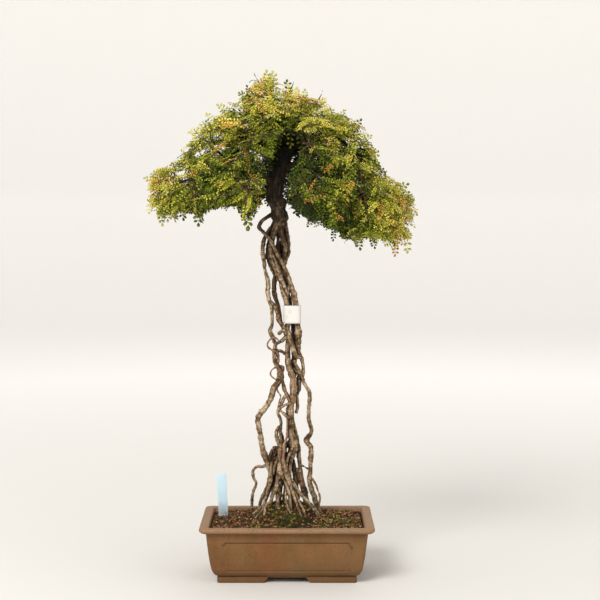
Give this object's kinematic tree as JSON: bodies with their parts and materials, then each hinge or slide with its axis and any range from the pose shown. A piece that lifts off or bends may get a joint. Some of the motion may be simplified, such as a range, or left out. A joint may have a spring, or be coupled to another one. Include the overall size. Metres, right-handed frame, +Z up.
{
  "type": "exposed-root zanthoxylum bonsai in a rectangular pot",
  "caption": "Potted bonsai: an umbrella crown of small pinnate leaves on a slim trunk that stands on a tall braid of bare roots, in a rectangular unglazed pot with feet.",
  "frame": {"origin": "bottom centre of the whole plant's box, in the plane the pot's feet stand on", "axes": "+Z up through the crown, -Y towards the viewer of the pot's front, +X to that viewer's right"},
  "size_m": [0.326, 0.2188, 0.6245],
  "materials": {
    "stoneware": "unglazed matte stoneware",
    "earth": "crumbly, moist, with moss",
    "bark": "rough grey-brown bark",
    "foliage": "soft leaf sheen",
    "blue_label": "smooth pale-blue plastic",
    "white_tag": "matte white paper or plastic band",
    "black_mesh": "black plastic mesh"
  },
  "bodies": {
    "root": {"pot": "stoneware", "soil": "earth", "drain_mesh_left": "black_mesh", "drain_mesh_right": "black_mesh", "trunk_and_roots": "bark", "plant_label": "blue_label", "trunk_tag": "white_tag", "spray_apex": "foliage", "spray_top_1": "foliage", "spray_top_2": "foliage", "spray_top_3": "foliage", "spray_top_4": "foliage", "spray_top_5": "foliage", "spray_upper_1": "foliage", "spray_upper_2": "foliage", "spray_upper_3": "foliage", "spray_upper_4": "foliage", "spray_upper_5": "foliage", "spray_upper_6": "foliage", "spray_upper_7": "foliage", "spray_upper_8": "foliage", "spray_outer_1": "foliage", "spray_outer_2": "foliage", "spray_outer_3": "foliage", "spray_outer_4": "foliage", "spray_outer_5": "foliage", "spray_outer_6": "foliage", "spray_outer_7": "foliage", "spray_outer_8": "foliage", "spray_outer_9": "foliage", "spray_outer_10": "foliage", "spray_outer_11": "foliage", "spray_hanging_1": "foliage", "spray_hanging_2": "foliage", "spray_hanging_3": "foliage", "spray_hanging_4": "foliage", "spray_hanging_5": "foliage"}
  },
  "joints": []
}
